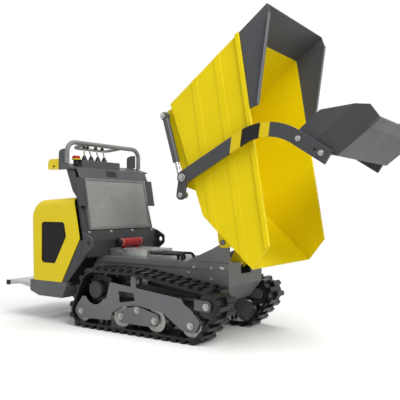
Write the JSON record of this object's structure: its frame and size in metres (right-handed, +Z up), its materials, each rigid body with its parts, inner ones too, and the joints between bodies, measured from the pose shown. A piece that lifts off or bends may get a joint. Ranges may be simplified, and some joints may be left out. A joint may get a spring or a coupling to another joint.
{
  "type": "tracked site dumper with self-loading shovel",
  "caption": "Compact rubber-tracked site dumper with a high forward-tipping skip, a self-loading shovel on side arms, a rear hood with control console and a folding ride-on platform.",
  "frame": {"origin": "on the ground under the middle of the machine's box, with the skip tipped", "axes": "+X forward, +Y to the left, +Z up"},
  "size_m": [2.8604, 0.862, 1.8678],
  "materials": {
    "black_plastic": "black moulded plastic",
    "cast_steel": "dark cast steel",
    "chrome": "hard chrome",
    "grey_paint": "satin anthracite paint",
    "red_plastic": "red moulded plastic",
    "rubber": "black rubber",
    "yellow_paint": "semi-gloss yellow paint",
    "yellow_plastic": "yellow moulded plastic",
    "zinc": "galvanised steel"
  },
  "bodies": {
    "base": {"track_left": "rubber", "track_right": "rubber", "track_rollers": "zinc", "idlers": "cast_steel", "sprockets": "cast_steel", "drive_motors": "cast_steel", "track_frames": "grey_paint", "bogies": "grey_paint", "tensioners": "grey_paint", "chassis": "grey_paint", "belly_plate": "grey_paint", "tipping_tower": "grey_paint", "hood": "yellow_plastic", "hood_grilles": "black_plastic", "skirt": "grey_paint", "power_unit": "cast_steel", "platform_brackets": "zinc", "bulkhead": "grey_paint", "console_frame": "grey_paint", "console_panel": "black_plastic", "mesh_guard": "zinc", "hand_hoop": "grey_paint", "hoop_shields": "grey_paint", "hand_guard": "yellow_plastic", "control_levers": "chrome", "lever_boots": "rubber", "stop_button": "red_plastic", "lashing_eyes": "zinc", "deck_tray": "zinc", "document_tube": "red_plastic", "hydraulic_hoses": "rubber"},
    "skip": {"skip_tub": "yellow_paint", "skip_guard": "grey_paint", "skip_hinge_brackets": "yellow_paint", "loader_brackets": "yellow_paint"},
    "loader": {"loader_arm_left": "grey_paint", "loader_arm_right": "grey_paint", "shovel": "grey_paint", "cutting_edge": "grey_paint"},
    "loader_barrels": {"loader_cylinder_barrels": "grey_paint"},
    "loader_rods": {"loader_cylinder_rods": "chrome"},
    "tip_barrel": {"tip_cylinder_barrel": "grey_paint"},
    "tip_rod": {"tip_cylinder_rod": "chrome"},
    "platform": {"platform": "zinc", "platform_buffers": "rubber"}
  },
  "joints": [
    {"name": "skip_tip", "type": "hinge", "parent": "base", "child": "skip", "pos_m": [0.44384, 0, 0.578], "axis": [0, -1, 0], "range_deg": [0, 70.5]},
    {"name": "loader_swing", "type": "hinge", "parent": "skip", "child": "loader", "pos_m": [0.30715, 0, 0.955], "axis": [0, 1, 0], "range_deg": [0, 112]},
    {"name": "loader_barrel_turn", "type": "hinge", "parent": "skip", "child": "loader_barrels", "pos_m": [0.15101, 0, 1.32404], "axis": [0, 1, 0], "range_deg": [0, 4.19]},
    {"name": "loader_rod_slide", "type": "slide", "parent": "loader_barrels", "child": "loader_rods", "axis": [0.2871, 0, -0.9579], "range_m": [-0.16365, 0]},
    {"name": "tip_barrel_turn", "type": "hinge", "parent": "base", "child": "tip_barrel", "pos_m": [-0.09816, 0, 0.33], "axis": [0, -1, 0], "range_deg": [0, 2.94]},
    {"name": "tip_rod_slide", "type": "slide", "parent": "tip_barrel", "child": "tip_rod", "axis": [0.9779, 0, 0.2091], "range_m": [0, 0.15863]},
    {"name": "platform_fold", "type": "hinge", "parent": "base", "child": "platform", "pos_m": [-1.10416, 0, 0.224], "axis": [0, 1, 0], "range_deg": [0, 90]}
  ],
  "couplings": [
    {"joint": "loader_swing", "follows": "skip_tip", "ratio": 1.5887},
    {"joint": "loader_barrel_turn", "follows": "skip_tip", "ratio": 0.059377},
    {"joint": "loader_rod_slide", "follows": "skip_tip", "m_per_rad": -0.13299},
    {"joint": "tip_barrel_turn", "follows": "skip_tip", "ratio": 0.041684},
    {"joint": "tip_rod_slide", "follows": "skip_tip", "m_per_rad": 0.12891}
  ]
}
